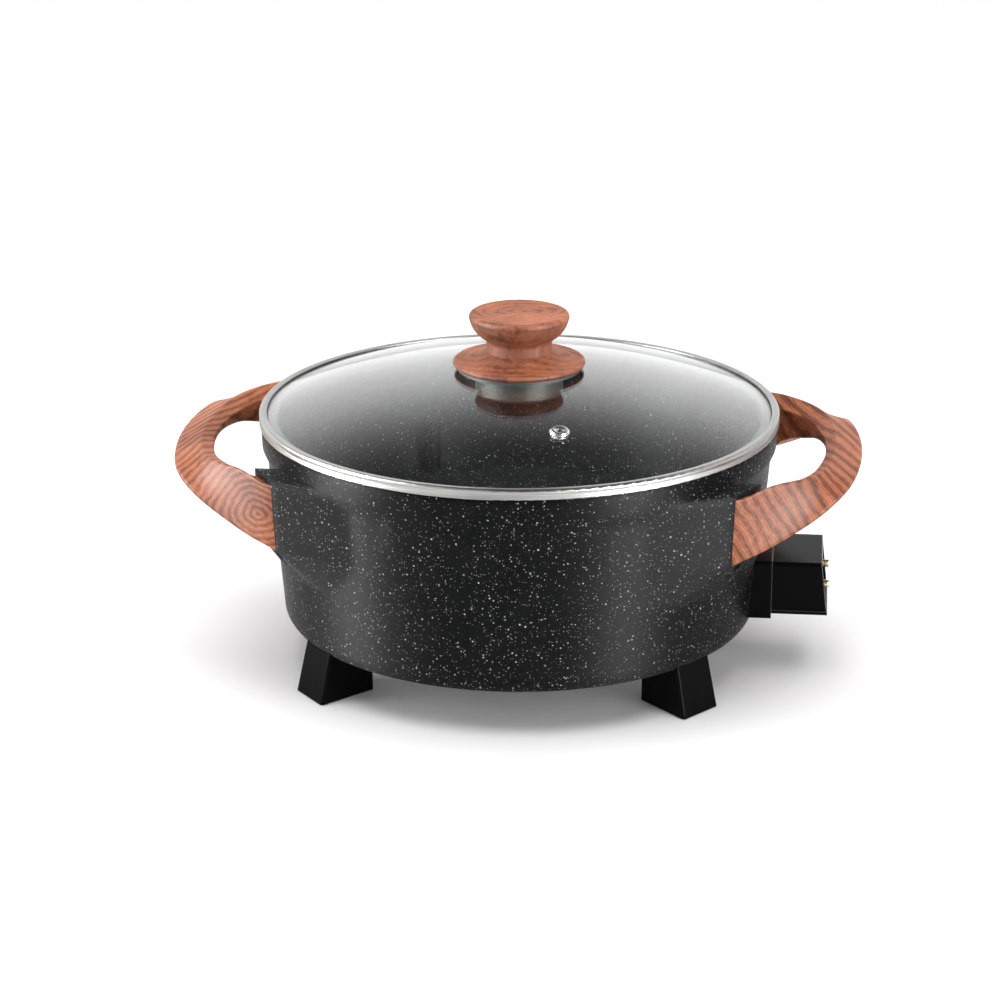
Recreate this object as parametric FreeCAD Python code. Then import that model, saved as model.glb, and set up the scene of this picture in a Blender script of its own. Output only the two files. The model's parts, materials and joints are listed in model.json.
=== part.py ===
import FreeCAD, Part
import math
import os

# Electric hot pot with a lift-off glass lid. Millimetres, +Z up, +X towards the handle over
# the terminal guard, -Y towards the front. The feet stand on Z = 0 and the pot axis is X = Y = 0.

V = FreeCAD.Vector
X_AXIS = V(1, 0, 0)
Z_AXIS = V(0, 0, 1)
ORIGIN = V(0, 0, 0)

# Pot shell: a cast cone with a thicker rim band and a raised cooking floor
BASE_Z = 26.0
FLOOR_Z = 70.0
FLOOR_T = 7.0
RIM_Z = 143.8
RIM_R = 149.0
RIM_BAND_Z = 131.0
NECK_Z = 124.0
NECK_R = 145.6
CONE_LOW_Z = 32.0
CONE_LOW_R = 137.6
BASE_ROUND = 8.0
RIM_ROUND = 1.2
MOUTH_R = 141.5
WALL_T = 5.6
FLOOR_ROUND = 10.0
SKIRT_LOW_R = 124.0
SKIRT_TOP_R = 127.0
SKIRT_CORNER = 4.0

# Rib on the inside wall, behind and to the left
RIB_ANGLE = 120.0
RIB_TOP_Z = 101.0
RIB_W = 10.0
RIB_R = 131.0
RIB_SLOPE = 3.0
RIB_BACK = 7.5

# Apron: the full wall between the lugs at the front and at the back
APRON_LOW_Z = 98.0
APRON_TOP_Z = 139.0
APRON_TOP_ANGLE = 18.8

# Cast lugs: four wedges that leave the wall on a tangent and carry the handle arms
LUG_ANGLE = 24.0
LUG_TOP_Z = 132.8
LUG_LOW_Z = 91.5
LUG_X = 128.5
LUG_Y = 100.5
LUG_TIP_X = 141.5
LUG_TIP_Y = 76.6
LUG_ROOT_X = 114.0
LUG_ROOT_R = 136.0
LUG_DRAFT = 3.5
LUG_TAPER_Z = 60.0
LUG_TAPER_LENGTH = 9.0
LUG_TAPER_TIP_R = 133.0
LUG_TAPER_TIP_ANGLE = 29.0

# Handle arms, from the root on the lug to the middle of the grip. Each station has the plan
# points and heights of the lower outer lip, the ridge on top and the inner edge of the bevel,
# then the height of the lower inner edge.
HANDLE_STATIONS = [
    (140.0, 94.9, 97.0, 140.5, 93.0, 134.2, 146.6, 74.6, 129.0, 104.0),
    (152.0, 89.4, 102.0, 151.0, 84.2, 136.0, 152.6, 69.6, 129.6, 111.0),
    (164.0, 84.0, 108.4, 161.0, 75.8, 135.6, 158.8, 62.8, 129.8, 114.5),
    (175.0, 78.9, 115.4, 169.0, 66.8, 134.8, 165.2, 54.2, 129.8, 117.2),
    (183.0, 73.0, 121.2, 174.4, 57.4, 134.2, 169.8, 44.8, 129.6, 120.0),
    (189.9, 60.4, 125.0, 178.2, 44.4, 134.0, 173.2, 32.4, 129.5, 122.4),
    (194.4, 40.4, 126.2, 181.0, 28.4, 134.0, 175.6, 19.9, 129.5, 123.8),
    (196.8, 20.0, 126.6, 182.4, 13.7, 134.0, 176.8, 9.6, 129.5, 124.4),
    (197.5, 0.0, 126.8, 182.8, 0.0, 134.0, 177.0, 0.0, 129.5, 124.6),
]
LIP_T = 3.0
ROOT_RIDGE_Z = 131.0
ROOT_BEVEL_Z = 128.4
ROOT_INNER_Z = 94.0
ROOT_LENGTH = 27.2
EDGE_ROUNDS = (1.2, 1.2, 1.6, 1.2, 2.4)
ROOT_ROUNDS = (0.7, 0.7, 0.7, 0.7, 0.7)
ROOT_LIP_OUT = 0.3
ROOT_LIP_T = 6.0

# Tongues of the handle, each in a pocket of its lug, held by one screw from below
TONGUE_W = 13.0
TONGUE_H = 11.0
TONGUE_L = 15.0
TONGUE_Z = 106.0
TONGUE_INSET = 13.6
TONGUE_GAP = 0.25
TONGUE_IN_BOW = 2.0
POCKET_MOUTH = 6.0
HANDLE_SCREW_R = 2.0
HANDLE_SCREW_DEPTH = 9.0
HANDLE_SEAT_Z = 101.0
HANDLE_HOLE_GAP = 0.3
HANDLE_HEAD_R = 3.8
HANDLE_HEAD_H = 2.4

# Slots in the screw heads, and the length of a cut that has to run past its wall
SLOT_W = 1.0
SLOT_DEPTH = 1.1
PAST_WALL = 40.0

# Cast-in tubular heating element and its two ends
ELEMENT_R = 85.0
ELEMENT_TUBE_R = 4.0
ELEMENT_Z = 53.0
ELEMENT_BEND = 16.0
ELEMENT_BEAD = 11.0
ELEMENT_END_X = 146.0
PIN_Y = 17.0
PIN_R = 2.25
PIN_TIP_X = 181.5
PIN_START_X = 143.0
PIN_SHOULDER_X = 151.0
PIN_TAIL_R = 1.7
PIN_TIP_ROUND = 1.0
INSULATOR_R = 5.5
INSULATOR_START_X = 120.0
INSULATOR_END_X = 151.0

# Sleeve for the temperature probe of a plug-in controller
SLEEVE_R = 5.0
SLEEVE_BORE_R = 3.6
SLEEVE_START_X = 84.0
SLEEVE_MOUTH_X = 150.0
SLEEVE_END_T = 2.0
SLEEVE_BOSS_R = 11.0
SLEEVE_BOSS_PAST = 4.0

# Terminal guard: a flange on the wall and an open shroud round the pins
FLANGE_Y = 27.2
FLANGE_LOW_Z = 33.5
FLANGE_TOP_Z = 68.6
FLANGE_FRONT_X = 148.5
FLANGE_BACK_X = 132.0
FLANGE_T = 2.0
GUARD_Y = 26.2
GUARD_LOW_Z = 38.0
GUARD_TOP_Z = 68.0
GUARD_TOP_X = 176.9
GUARD_LOW_X = 180.2
GUARD_WALL = 3.0
GUARD_ROUND = 2.2
GUARD_LIP = 0.9
GUARD_SCREW_R = 1.9
GUARD_SCREW_OFFSET = 8.7
GUARD_HEAD_R = 3.2
GUARD_HEAD_H = 2.2
GUARD_SCREW_DEPTH = 9.0

# Feet: four moulded wedges under the corner of the shell
FOOT_ANGLE = 38.9
FOOT_OUT_R = 143.6
FOOT_TOP_R = 136.6
FOOT_TOP_Z = 30.0
FOOT_IN_R = 106.0
FOOT_W = 29.0
FOOT_TOP_W = 27.0
FOOT_IN_W = 19.0
FOOT_ROUND = 1.6
FOOT_SCREW_R0 = 120.0
FOOT_SCREW_R = 2.0
FOOT_SCREW_DEPTH = 14.0
FOOT_HEAD_R = 4.0
FOOT_HEAD_H = 2.6
FOOT_HEAD_SEAT_Z = 14.0
FOOT_POCKET_R = 5.2
FOOT_BOSS_R = 9.0
FOOT_BOSS_TOP_Z = 46.0
PAD_R = 5.0
PAD_T = 1.0
PAD_RECESS = 0.6
PAD_POS_R = 133.0

# Cover under the heating space
COVER_R = 123.6
COVER_T = 1.0
COVER_Z = 27.0
COVER_GAP = 0.5
COVER_BOSS_R0 = 106.0
COVER_BOSS_R = 6.0
COVER_SCREW_R = 1.5
COVER_HEAD_R = 3.0
COVER_HEAD_H = 1.8
COVER_SCREW_DEPTH = 9.0
COVER_BOSS_ANGLES = (90.0, 210.0, 330.0)
VENT_SLOT_L = 22.0
VENT_SLOT_W = 4.0
VENT_RING_R = 62.0
VENT_SLOTS = 12

# Lid
LID_APEX_Z = 174.3
GLASS_R = 147.3
GLASS_SPHERE_R = 426.0
GLASS_T = 3.0
RING_R = 150.0
RING_TOP_Z = 150.0
RING_LOW_Z = 144.0
RING_SKIN = 0.7
RING_LIP_R = 145.6
RING_LIP_LOW_Z = 148.75
RING_SEAT_R = 138.6
RING_LOCATOR_Z = 138.4
RING_CORNER = 1.4
VENT_R = 95.2
VENT_ANGLE = 289.0
EYELET_FLANGE_R = 5.5
EYELET_BARREL_R = 3.5
EYELET_HOLE_R = 1.3
EYELET_H = 2.2
EYELET_LOW_R = 5.0

# Knob stack on the lid
KNOB_BASE_Z = 174.9
KNOB_BASE_R = 38.0
KNOB_NECK_R = 18.9
KNOB_TOP_R = 28.7
KNOB_TOP_Z = 205.9
GASKET_R = 35.6
PUCK_R = 25.4
PUCK_LOW_Z = 156.4
PUCK_ROUND = 2.5
KNOB_SCREW_R = 2.5
KNOB_HEAD_R = 5.0
KNOB_HEAD_H = 3.2
KNOB_SCREW_TOP_Z = 188.0
PUCK_POCKET_R = 6.0
PUCK_POCKET_Z = 162.0
INSERT_R = 5.0
INSERT_TOP_Z = 189.0
BUSH_R = 5.0


def polar(radius, angle, z=0.0):
    """Point at a radius and an angle in degrees from +X."""
    turn = math.radians(angle)
    return V(radius * math.cos(turn), radius * math.sin(turn), z)


def cylinder(radius, length, start, direction=Z_AXIS):
    """Round bar from a start point."""
    return Part.makeCylinder(radius, length, start, direction)


def revolved(points):
    """Solid of revolution about Z; a point is (r, z) or (r, z, bulge point) for an arc to it."""
    edges = []
    first = V(points[0][0], 0, points[0][1])
    here = first
    for point in points[1:] + [points[0]]:
        there = V(point[0], 0, point[1])
        if there.isEqual(here, 1e-6):
            continue
        if len(point) == 4:
            edges.append(Part.Arc(here, V(point[2], 0, point[3]), there).toShape())
        else:
            edges.append(Part.LineSegment(here, there).toShape())
        here = there
    face = Part.Face(Part.Wire(edges))
    solid = face.revolve(ORIGIN, Z_AXIS, 360)
    return solid if isinstance(solid, Part.Solid) else Part.Solid(solid)


def arc_end(centre, radius, start, end):
    """(r, z, mid r, mid z) of an arc in the profile plane that ends at the angle end."""
    a, b = math.radians(end), math.radians(0.5 * (start + end))
    return (
        centre[0] + radius * math.cos(a),
        centre[1] + radius * math.sin(a),
        centre[0] + radius * math.cos(b),
        centre[1] + radius * math.sin(b),
    )


def cone_r(z):
    """Outside radius of the pot wall at a height below the rim band."""
    return CONE_LOW_R + (NECK_R - CONE_LOW_R) * (z - CONE_LOW_Z) / (NECK_Z - CONE_LOW_Z)


def one_solid(shape):
    """The single solid of a boolean result, or the group as it is."""
    if len(shape.Solids) == 1:
        return shape.Solids[0]
    return Part.makeCompound(shape.Solids)


def mirrored(shape, x_side, y_side):
    """The same shape in another quarter; sides are +1 or -1."""
    result = shape
    if x_side < 0:
        result = result.mirror(ORIGIN, V(1, 0, 0))
    if y_side < 0:
        result = result.mirror(ORIGIN, V(0, 1, 0))
    return result


def pot_outside():
    """The pot as a filled form, up to the rim."""
    corner_z = BASE_Z + BASE_ROUND
    wall_r = cone_r(corner_z)
    centre = (wall_r - BASE_ROUND, corner_z)
    points = [
        (0, BASE_Z),
        (wall_r - BASE_ROUND, BASE_Z),
        arc_end(centre, BASE_ROUND, -90, 0),
        (NECK_R, NECK_Z),
        (RIM_R - 0.4, RIM_BAND_Z),
        (RIM_R, RIM_Z - RIM_ROUND),
        arc_end((RIM_R - RIM_ROUND, RIM_Z - RIM_ROUND), RIM_ROUND, 0, 90),
        (0, RIM_Z),
    ]
    return revolved(points)


def pot_inside():
    """The cooking space, from the floor to past the rim."""
    low_r = cone_r(FLOOR_Z + FLOOR_ROUND) - WALL_T
    centre = (low_r - FLOOR_ROUND, FLOOR_Z + FLOOR_ROUND)
    points = [
        (0, FLOOR_Z),
        (centre[0], FLOOR_Z),
        arc_end(centre, FLOOR_ROUND, -90, 0),
        (MOUTH_R - 1.5, NECK_Z),
        (MOUTH_R, RIM_BAND_Z + 2.0),
        (MOUTH_R, RIM_Z + 5.0),
        (0, RIM_Z + 5.0),
    ]
    return revolved(points)


def heating_space():
    """The space under the floor, inside the skirt."""
    top_z = FLOOR_Z - FLOOR_T
    centre = (SKIRT_TOP_R - SKIRT_CORNER, top_z - SKIRT_CORNER)
    points = [
        (0, BASE_Z - 5.0),
        (SKIRT_LOW_R, BASE_Z - 5.0),
        (SKIRT_LOW_R, COVER_Z + COVER_T),
        (SKIRT_TOP_R, top_z - SKIRT_CORNER),
        arc_end(centre, SKIRT_CORNER, 0, 90),
        (0, top_z),
    ]
    return revolved(points)


def disc_face(centre, normal, radius):
    """Flat round face."""
    return Part.Face(Part.Wire(Part.Circle(centre, normal, radius).toShape()))


def element_path(radius):
    """A round bar of the given radius along the path of the heating element."""
    bend_y = PIN_Y + ELEMENT_BEND
    bend_x = math.sqrt((ELEMENT_R + ELEMENT_BEND) ** 2 - bend_y**2)
    meet = math.degrees(math.atan2(bend_y, bend_x))
    section = disc_face(polar(ELEMENT_R, meet, ELEMENT_Z), polar(1, meet + 90), radius)
    bar = section.revolve(ORIGIN, Z_AXIS, 360 - 2 * meet)
    for side in (1, -1):
        start = V(bend_x, side * PIN_Y, ELEMENT_Z)
        disc = disc_face(start, X_AXIS, radius)
        turn = -(90 - meet) * side
        bend = disc.revolve(V(bend_x, side * bend_y, ELEMENT_Z), Z_AXIS, turn)
        bar = bar.fuse([bend, cylinder(radius, ELEMENT_END_X - bend_x, start, X_AXIS)])
    return one_solid(bar.removeSplitter())


def lug_shift(z):
    """How far the draft moves a lug inwards at a height, as a plan vector."""
    drop = (LUG_TOP_Z - z) / (LUG_TOP_Z - LUG_LOW_Z)
    turn = math.radians(LUG_ANGLE)
    return V(-LUG_DRAFT * drop * math.sin(turn), LUG_DRAFT * drop * math.cos(turn), 0)


def lug_outline(z, tapered=False):
    """Plan outline of the front right lug at a height, or what is left of it below the taper."""
    start = polar(LUG_ROOT_R, LUG_ANGLE - 90, z)
    tangent = polar(1, LUG_ANGLE)
    corner = V(LUG_X, -LUG_Y, z)
    foot = corner - tangent * tangent.dot(corner - V(0, 0, z))
    shift = lug_shift(z)
    root = V(LUG_ROOT_X, -LUG_TIP_Y, z)
    root_angle = math.degrees(math.atan2(LUG_ROOT_X, LUG_TIP_Y))
    middle = polar(LUG_ROOT_R, 0.5 * (LUG_ANGLE + root_angle) - 90, z)
    tip = V(LUG_TIP_X, -LUG_TIP_Y, z)
    if tapered:
        corner = foot + tangent * LUG_TAPER_LENGTH
        tip = polar(LUG_TAPER_TIP_R, -LUG_TAPER_TIP_ANGLE, z) - shift
    points = [foot + shift, corner + shift, tip + shift, root, middle, start]
    return Part.makePolygon(points + points[:1])


def root_direction():
    """Plan direction along the end face of the front right lug, towards its outer corner."""
    return V(LUG_X - LUG_TIP_X, LUG_TIP_Y - LUG_Y, 0).normalize()


def tongue_frame():
    """Middle of the tongue on the root plane, the direction into the lug, and the one across."""
    across = root_direction()
    inward = V(across.y, -across.x, 0)
    middle = V(LUG_TIP_X, -LUG_TIP_Y, 0) + across * (ROOT_LENGTH - TONGUE_INSET)
    return middle, inward, across


def tongue_block(grow, overlap):
    """The tongue of one handle arm, or the pocket for it when it is grown."""
    middle, inward, across = tongue_frame()
    middle = middle + lug_shift(TONGUE_Z + 0.5 * TONGUE_H)
    half = 0.5 * TONGUE_W + grow
    corners = [
        middle - inward * overlap - across * half,
        middle + inward * (TONGUE_L + grow) - across * half,
        middle + inward * (TONGUE_L + grow) + across * half,
        middle - inward * overlap + across * half,
    ]
    low = TONGUE_Z - grow
    wire = Part.makePolygon([V(c.x, c.y, low) for c in corners + corners[:1]])
    return Part.Face(wire).extrude(V(0, 0, TONGUE_H + 2 * grow))


def tongue_screw_at(z):
    """Point on the axis of the screw in the front right tongue."""
    middle, inward, across = tongue_frame()
    middle = middle + lug_shift(TONGUE_Z + 0.5 * TONGUE_H) + inward * (0.5 * TONGUE_L + 0.5)
    return V(middle.x, middle.y, z)


def lug():
    """One cast lug, with the pocket for its handle arm and the hole for the screw."""
    wedge = Part.makeLoft([lug_outline(LUG_LOW_Z), lug_outline(LUG_TOP_Z)], True, True)
    taper = Part.makeLoft([lug_outline(LUG_TAPER_Z, True), lug_outline(LUG_LOW_Z)], True, True)
    wedge = wedge.fuse(taper)
    pocket = tongue_block(TONGUE_GAP, POCKET_MOUTH)
    hole_h = TONGUE_Z - HANDLE_SEAT_Z + 1.0
    hole = cylinder(HANDLE_SCREW_R + HANDLE_HOLE_GAP, hole_h, tongue_screw_at(HANDLE_SEAT_Z))
    sink_h = HANDLE_SEAT_Z - LUG_TAPER_Z
    sink = cylinder(HANDLE_HEAD_R + HANDLE_HOLE_GAP, sink_h, tongue_screw_at(LUG_TAPER_Z))
    return wedge.cut([pocket, hole, sink])


def rounded_section(points, radii):
    """Closed wire through flat points with each corner rounded by its radius."""
    count = len(points)
    cuts = []
    for i, corner in enumerate(points):
        before = points[i - 1] - corner
        after = points[(i + 1) % count] - corner
        half = 0.5 * before.getAngle(after)
        reach = radii[i] / math.tan(half)
        before.normalize()
        after.normalize()
        bisector = before + after
        bisector.normalize()
        middle = corner + bisector * (radii[i] / math.sin(half) - radii[i])
        cuts.append((corner + before * reach, middle, corner + after * reach))
    edges = []
    for i in range(count):
        start, middle, end = cuts[i]
        edges.append(Part.Arc(start, middle, end).toShape())
        edges.append(Part.LineSegment(end, cuts[(i + 1) % count][0]).toShape())
    return Part.Wire(edges)


def root_section():
    """Handle section on the slanted end face of the front right lug."""
    across = root_direction()
    tip = V(LUG_TIP_X, -LUG_TIP_Y, 0)
    corners = (
        (ROOT_LENGTH, LUG_LOW_Z),
        (ROOT_LENGTH + ROOT_LIP_OUT, LUG_LOW_Z + ROOT_LIP_T),
        (ROOT_LENGTH, ROOT_RIDGE_Z),
        (0, ROOT_BEVEL_Z),
        (0, ROOT_INNER_Z),
    )
    points = []
    for along, z in corners:
        place = tip + across * along + lug_shift(z)
        points.append(V(place.x, place.y, z))
    return points


def arm_section(station):
    """Handle section at one station of the front right arm."""
    lip_x, lip_y, lip_z, ridge_x, ridge_y, ridge_z, bevel_x, bevel_y, bevel_z, inner_z = station
    outward = V(lip_x - ridge_x, ridge_y - lip_y, 0).normalize()
    lip = V(lip_x, -lip_y, lip_z)
    return [
        lip,
        lip + V(0, 0, LIP_T) + outward * ROOT_LIP_OUT,
        V(ridge_x, -ridge_y, ridge_z),
        V(bevel_x, -bevel_y, bevel_z),
        V(bevel_x, -bevel_y, inner_z),
    ]


def handle():
    """The right handle: one bow between its two lugs, with a tongue at each end."""
    sections = [(root_section(), ROOT_ROUNDS)]
    sections += [(arm_section(s), EDGE_ROUNDS) for s in HANDLE_STATIONS]
    wires = [rounded_section(points, radii) for points, radii in sections]
    for points, radii in reversed(sections[:-1]):
        back = [V(p.x, -p.y, p.z) for p in points]
        wires.append(rounded_section(back, radii))
    bow = Part.makeLoft(wires, True, False)
    for side in (1, -1):
        tongue = tongue_block(0, TONGUE_IN_BOW)
        bore = cylinder(HANDLE_SCREW_R, HANDLE_SCREW_DEPTH + 1.0, tongue_screw_at(TONGUE_Z - 1.0))
        bow = bow.fuse(mirrored(tongue, 1, side)).cut(mirrored(bore, 1, side))
    return one_solid(bow)


def slot_below(place, head_r):
    """Driver slot in the underside of a screw head whose lowest point on its axis is given."""
    return Part.makeBox(2 * head_r, SLOT_W, SLOT_DEPTH, place - V(head_r, 0.5 * SLOT_W, 0))


def handle_screw():
    """Pan-head screw up through the floor of a lug into the tongue."""
    top = TONGUE_Z + HANDLE_SCREW_DEPTH - 0.5
    shank = cylinder(HANDLE_SCREW_R, top - HANDLE_SEAT_Z, tongue_screw_at(HANDLE_SEAT_Z))
    low = tongue_screw_at(HANDLE_SEAT_Z - HANDLE_HEAD_H)
    head = cylinder(HANDLE_HEAD_R, HANDLE_HEAD_H, low)
    return one_solid(shank.fuse(head).cut(slot_below(low, HANDLE_HEAD_R)))


def foot_place(index):
    """Angle of one foot, counted from the front right."""
    return (-FOOT_ANGLE, -180 + FOOT_ANGLE, 180 - FOOT_ANGLE, FOOT_ANGLE)[index]


def turned(shape, angle):
    """A copy turned about the pot axis by an angle in degrees."""
    result = shape.copy()
    result.rotate(ORIGIN, Z_AXIS, angle)
    return result


def pot_body():
    """Cast shell with rim, lugs, floor, element bead, bosses and the inside rib."""
    body = pot_outside()
    for x_side in (1, -1):
        for y_side in (1, -1):
            body = body.fuse(mirrored(lug(), x_side, y_side))
    front = apron()
    body = body.fuse([front, mirrored(front, 1, -1)])
    body = body.cut([pot_inside(), heating_space()])
    within = cylinder(SKIRT_TOP_R + 3.0, FLOOR_Z - BASE_Z, V(0, 0, BASE_Z))
    bead = element_path(ELEMENT_BEAD).common(within)
    boss_start = V(SLEEVE_START_X - SLEEVE_BOSS_PAST, 0, ELEMENT_Z)
    boss_length = SKIRT_LOW_R + SLEEVE_BOSS_PAST - SLEEVE_START_X
    sleeve_boss = cylinder(SLEEVE_BOSS_R, boss_length, boss_start, X_AXIS)
    grown = [bead, sleeve_boss]
    for index in range(4):
        place = polar(FOOT_SCREW_R0, foot_place(index), BASE_Z)
        grown.append(cylinder(FOOT_BOSS_R, FOOT_BOSS_TOP_Z - BASE_Z, place))
    for angle in COVER_BOSS_ANGLES:
        place = polar(COVER_BOSS_R0, angle, COVER_Z + COVER_T)
        grown.append(cylinder(COVER_BOSS_R, FLOOR_Z - FLOOR_T + 1.0 - place.z, place))
    body = body.fuse(grown)
    body = body.fuse(inside_rib())
    cuts = [
        element_path(ELEMENT_TUBE_R),
        cylinder(SLEEVE_R, RIM_R - SLEEVE_START_X, V(SLEEVE_START_X, 0, ELEMENT_Z), X_AXIS),
    ]
    for side in (1, -1):
        start = V(INSULATOR_START_X, side * PIN_Y, ELEMENT_Z)
        cuts.append(cylinder(INSULATOR_R, RIM_R - INSULATOR_START_X, start, X_AXIS))
        screw = V(cone_r(ELEMENT_Z) - GUARD_SCREW_DEPTH, 0, ELEMENT_Z + side * GUARD_SCREW_OFFSET)
        cuts.append(cylinder(GUARD_SCREW_R, PAST_WALL, screw, X_AXIS))
    for index in range(4):
        place = polar(FOOT_SCREW_R0, foot_place(index), BASE_Z - 1.0)
        cuts.append(cylinder(FOOT_SCREW_R, FOOT_SCREW_DEPTH + 1.0, place))
    for angle in COVER_BOSS_ANGLES:
        place = polar(COVER_BOSS_R0, angle, COVER_Z)
        cuts.append(cylinder(COVER_SCREW_R, COVER_T + COVER_SCREW_DEPTH, place))
    return one_solid(body.cut(cuts))


def wedge_outline(angle, z):
    """Plan triangle from the axis out past the wall, to both sides of the front."""
    turn = math.radians(angle)
    reach = 2.0 * RIM_R
    points = [V(0, 0, z), V(-reach * math.sin(turn), -reach * math.cos(turn), z)]
    points.append(V(reach * math.sin(turn), -reach * math.cos(turn), z))
    return Part.makePolygon(points + points[:1])


def apron():
    """Full wall at the front, between the lugs, that runs up to the rim without the neck."""
    top_z = RIM_Z - RIM_ROUND - 0.3
    points = [
        (RIM_R - 2 * WALL_T, APRON_LOW_Z),
        (cone_r(APRON_LOW_Z), APRON_LOW_Z),
        (RIM_R - 0.1, APRON_TOP_Z),
        (RIM_R - 0.1, top_z),
        (RIM_R - 2 * WALL_T, top_z),
    ]
    outlines = [
        wedge_outline(LUG_ANGLE + 0.5, APRON_LOW_Z - 1.0),
        wedge_outline(LUG_ANGLE, LUG_TOP_Z),
        wedge_outline(APRON_TOP_ANGLE, RIM_Z),
    ]
    return revolved(points).common(Part.makeLoft(outlines, True, True))


def inside_rib():
    """Upright rib on the inside of the wall, standing on the floor."""
    height = RIB_TOP_Z - RIB_SLOPE - FLOOR_Z + 1.0
    place = polar(RIB_R, RIB_ANGLE, FLOOR_Z - 1.0)
    front = cylinder(0.5 * RIB_W, height, place)
    cap = Part.makeCone(0.5 * RIB_W, 0.5 * RIB_W - RIB_SLOPE, RIB_SLOPE, place + V(0, 0, height))
    back = Part.makeBox(RIB_BACK, RIB_W, height, V(RIB_R, -0.5 * RIB_W, FLOOR_Z - 1.0))
    return front.fuse([cap, turned(back, RIB_ANGLE)])


def heating_element():
    """Sheathed tube of the element, with a bore at each end for the tail of a pin."""
    tube = element_path(ELEMENT_TUBE_R)
    for side in (1, -1):
        tube = tube.cut(cylinder(PIN_TAIL_R, PAST_WALL, V(PIN_START_X, side * PIN_Y, ELEMENT_Z), X_AXIS))
    return tube


def element_insulators():
    """Two ceramic bushes that carry the ends of the element through the wall."""
    bushes = []
    for side in (1, -1):
        start = V(INSULATOR_START_X, side * PIN_Y, ELEMENT_Z)
        bush = cylinder(INSULATOR_R, INSULATOR_END_X - INSULATOR_START_X, start, X_AXIS)
        tube = cylinder(ELEMENT_TUBE_R, ELEMENT_END_X - INSULATOR_START_X, start, X_AXIS)
        pin = cylinder(PIN_TAIL_R, INSULATOR_END_X, start, X_AXIS)
        bushes.append(bush.cut([tube, pin]))
    return Part.makeCompound(bushes)


def terminal_pin(side):
    """One round contact pin with a rounded tip and a thinner tail in the insulator."""
    shoulder = V(PIN_SHOULDER_X, side * PIN_Y, ELEMENT_Z)
    pin = cylinder(PIN_R, PIN_TIP_X - PIN_SHOULDER_X, shoulder, X_AXIS)
    tip = [e for e in pin.Edges if abs(e.CenterOfMass.x - PIN_TIP_X) < 0.01]
    pin = pin.makeFillet(PIN_TIP_ROUND, tip)
    start = V(PIN_START_X, side * PIN_Y, ELEMENT_Z)
    tail = cylinder(PIN_TAIL_R, PIN_SHOULDER_X - PIN_START_X, start, X_AXIS)
    return pin.fuse(tail)


def probe_sleeve():
    """Blind tube from the mouth of the guard to under the floor."""
    length = SLEEVE_MOUTH_X - SLEEVE_START_X
    tube = cylinder(SLEEVE_R, length, V(SLEEVE_START_X, 0, ELEMENT_Z), X_AXIS)
    bore = cylinder(SLEEVE_BORE_R, length, V(SLEEVE_START_X + SLEEVE_END_T, 0, ELEMENT_Z), X_AXIS)
    return tube.cut(bore)


def guard_shroud(side_gap, low_z, top_z, start_x, past):
    """Box with the raked mouth of the guard, from start_x to the mouth plus a length."""
    rake = (GUARD_LOW_X - GUARD_TOP_X) / (GUARD_TOP_Z - GUARD_LOW_Z)
    points = []
    for z, at_mouth in ((low_z, True), (top_z, True), (top_z, False), (low_z, False)):
        x = GUARD_TOP_X + rake * (GUARD_TOP_Z - z) + past if at_mouth else start_x
        points.append(V(x, -(GUARD_Y - side_gap), z))
    wire = Part.makePolygon(points + points[:1])
    return Part.Face(wire).extrude(V(0, 2 * (GUARD_Y - side_gap), 0))


def long_edges(shape, z_values, axis):
    """Straight edges along an axis at given heights."""
    picked = []
    for edge in shape.Edges:
        a, b = edge.Vertexes[0].Point, edge.Vertexes[-1].Point
        along = b - a
        if along.Length > 1.0 and abs(along.normalize().dot(axis)) > 0.999:
            if any(abs(edge.CenterOfMass.z - z) < 0.01 for z in z_values):
                picked.append(edge)
    return picked


def terminal_guard():
    """Moulded flange and shroud round the two pins."""
    start_x = FLANGE_FRONT_X - FLANGE_T
    shroud = guard_shroud(0, GUARD_LOW_Z, GUARD_TOP_Z, start_x, 0)
    shroud = shroud.makeFillet(GUARD_ROUND, long_edges(shroud, (GUARD_LOW_Z, GUARD_TOP_Z), X_AXIS))
    flange = Part.makeBox(
        FLANGE_FRONT_X - FLANGE_BACK_X,
        2 * FLANGE_Y,
        FLANGE_TOP_Z - FLANGE_LOW_Z,
        V(FLANGE_BACK_X, -FLANGE_Y, FLANGE_LOW_Z),
    )
    flange = flange.makeFillet(GUARD_ROUND, long_edges(flange, (FLANGE_LOW_Z, FLANGE_TOP_Z), X_AXIS))
    lip_low, lip_top = GUARD_LOW_Z - GUARD_LIP, GUARD_LOW_Z + GUARD_LIP
    low_lip = guard_shroud(-0.5 * GUARD_LIP, lip_low, lip_top, start_x, 0.5 * GUARD_LIP)
    guard = flange.fuse([shroud, low_lip])
    inner_low, inner_top = GUARD_LOW_Z + GUARD_WALL, GUARD_TOP_Z - GUARD_WALL
    hollow = guard_shroud(GUARD_WALL, inner_low, inner_top, start_x, 2.0 * GUARD_WALL)
    cuts = [hollow, pot_outside()]
    middle = V(FLANGE_BACK_X - 5.0, 0, ELEMENT_Z)
    for side in (1, -1):
        cuts.append(cylinder(INSULATOR_R, PAST_WALL, middle + V(0, side * PIN_Y, 0), X_AXIS))
        cuts.append(cylinder(GUARD_SCREW_R, PAST_WALL, middle + V(0, 0, side * GUARD_SCREW_OFFSET), X_AXIS))
    cuts.append(cylinder(SLEEVE_R, PAST_WALL, middle, X_AXIS))
    return one_solid(guard.cut(cuts))


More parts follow.
